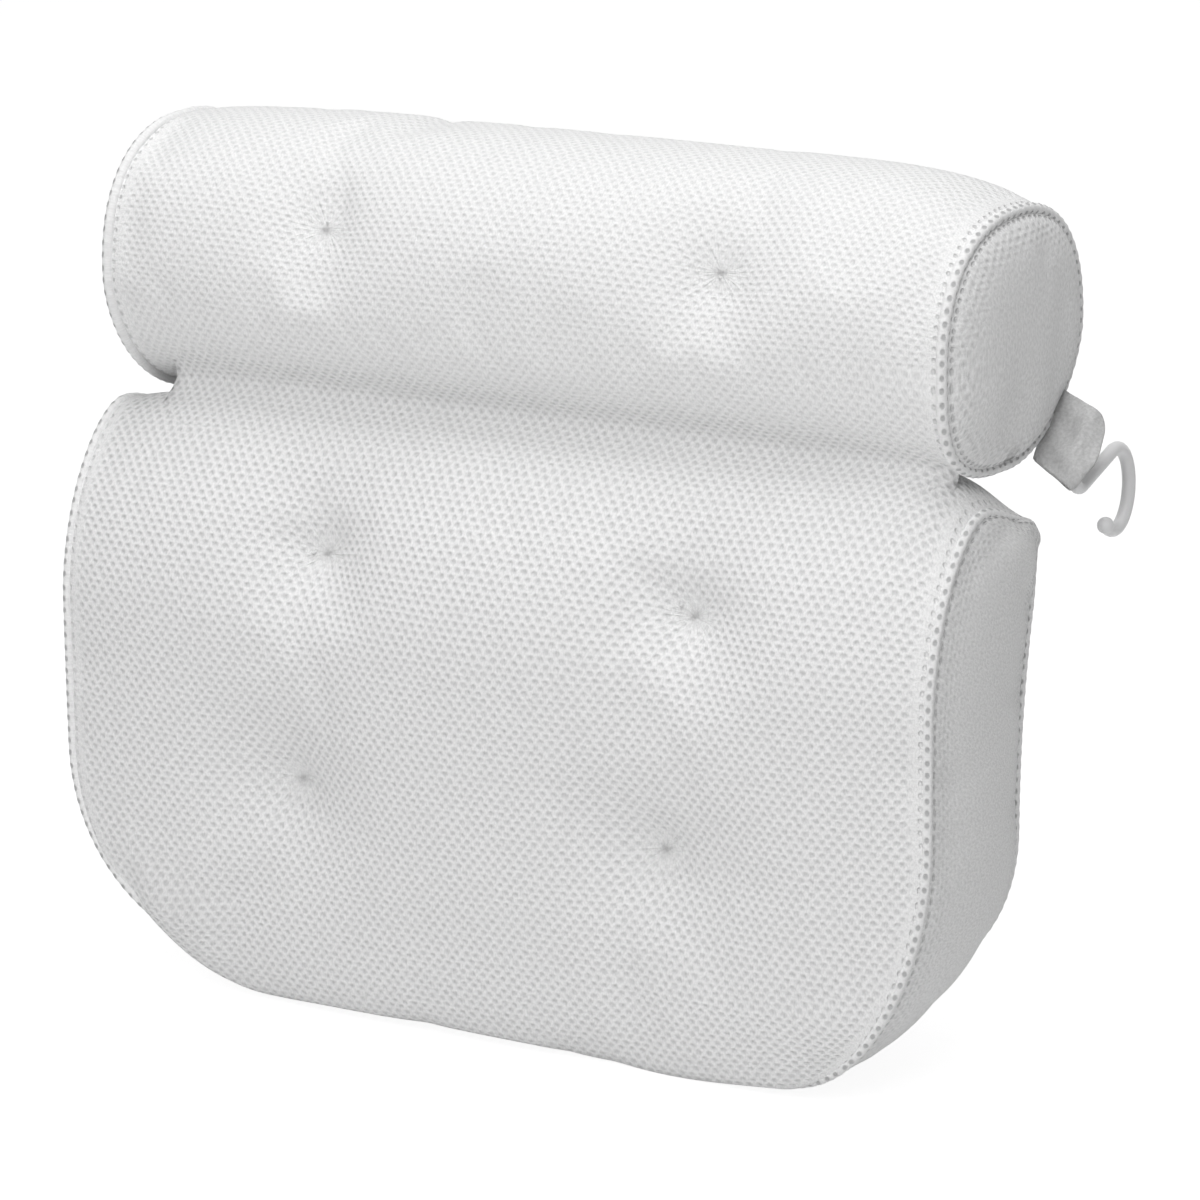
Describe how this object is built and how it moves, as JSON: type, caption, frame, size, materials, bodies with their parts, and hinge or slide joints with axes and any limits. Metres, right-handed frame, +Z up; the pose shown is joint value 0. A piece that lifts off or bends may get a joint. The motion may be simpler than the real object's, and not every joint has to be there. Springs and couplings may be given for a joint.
{
  "type": "bath pillow",
  "caption": "Two-part bath pillow: a padded head roll joined by a fabric web to a tufted back pad, with suction cups behind and a hanging hook at its side.",
  "frame": {"origin": "centre of the back pad's flat rear face, which bears on the tub", "axes": "+Y points to the wall the pillow is held to, +Z up towards the head roll, +X to the side that carries the hook"},
  "size_m": [0.3805, 0.1571, 0.3225],
  "materials": {
    "mesh": "white 3-D spacer mesh, open honeycomb knit",
    "piping": "white mesh binding along the seams",
    "fibre": "white polyester filling",
    "web": "white mesh",
    "thread": "white thread",
    "cup": "clear soft PVC",
    "hook": "white plastic"
  },
  "bodies": {
    "pad": {"pad_front_panel": "mesh", "pad_gusset": "mesh", "pad_back_panel": "mesh", "pad_front_piping": "piping", "pad_back_piping": "piping", "pad_filling": "fibre", "pad_tie_left_upper": "thread", "pad_tie_left_lower": "thread", "pad_tie_right_upper": "thread", "pad_tie_right_lower": "thread", "pad_left_upper_eyelet": "piping", "pad_left_lower_eyelet": "piping", "pad_right_upper_eyelet": "piping", "pad_right_lower_eyelet": "piping", "hinge_web": "web"},
    "roll": {"roll_wrap": "mesh", "roll_end_left": "mesh", "roll_end_right": "mesh", "roll_piping_left": "piping", "roll_piping_right": "piping", "roll_filling": "fibre", "roll_tie_left": "thread", "roll_tie_right": "thread", "roll_left_eyelet": "piping", "roll_right_eyelet": "piping"},
    "strap": {"hang_strap": "mesh"},
    "hook": {"hang_hook": "hook"},
    "pad_left_upper_cup": {"pad_left_upper_cup": "cup"},
    "pad_left_lower_cup": {"pad_left_lower_cup": "cup"},
    "pad_right_upper_cup": {"pad_right_upper_cup": "cup"},
    "pad_right_lower_cup": {"pad_right_lower_cup": "cup"},
    "roll_left_cup": {"roll_left_cup": "cup"},
    "roll_right_cup": {"roll_right_cup": "cup"}
  },
  "joints": [
    {"name": "roll_fold", "type": "hinge", "parent": "pad", "child": "roll", "pos_m": [0, -0.012, 0.1015], "axis": [-1, 0, 0], "range_deg": [-1, 40], "deforming": ["hinge_web"]},
    {"name": "strap_swing", "type": "hinge", "parent": "roll", "child": "strap", "pos_m": [0.1776, 0.0192, 0.1173], "axis": [0, 0.8461, 0.5331], "range_deg": [-30, 10]},
    {"name": "hook_swing", "type": "hinge", "parent": "strap", "child": "hook", "pos_m": [0.1919, 0.0145, 0.1165], "axis": [0, 0.6691, 0.7431], "range_deg": [-100, 50]},
    {"name": "pad_left_upper_spin", "type": "hinge", "parent": "pad", "child": "pad_left_upper_cup", "pos_m": [-0.12, 0.004, 0.0425], "axis": [0, 1, 0], "continuous": true},
    {"name": "pad_left_lower_spin", "type": "hinge", "parent": "pad", "child": "pad_left_lower_cup", "pos_m": [-0.12, 0.004, -0.0455], "axis": [0, 1, 0], "continuous": true},
    {"name": "pad_right_upper_spin", "type": "hinge", "parent": "pad", "child": "pad_right_upper_cup", "pos_m": [0.12, 0.004, 0.0425], "axis": [0, 1, 0], "continuous": true},
    {"name": "pad_right_lower_spin", "type": "hinge", "parent": "pad", "child": "pad_right_lower_cup", "pos_m": [0.12, 0.004, -0.0455], "axis": [0, 1, 0], "continuous": true},
    {"name": "roll_left_spin", "type": "hinge", "parent": "roll", "child": "roll_left_cup", "pos_m": [-0.112, 0.04614, 0.154], "axis": [0, 1, 0], "continuous": true},
    {"name": "roll_right_spin", "type": "hinge", "parent": "roll", "child": "roll_right_cup", "pos_m": [0.112, 0.04614, 0.154], "axis": [0, 1, 0], "continuous": true}
  ]
}
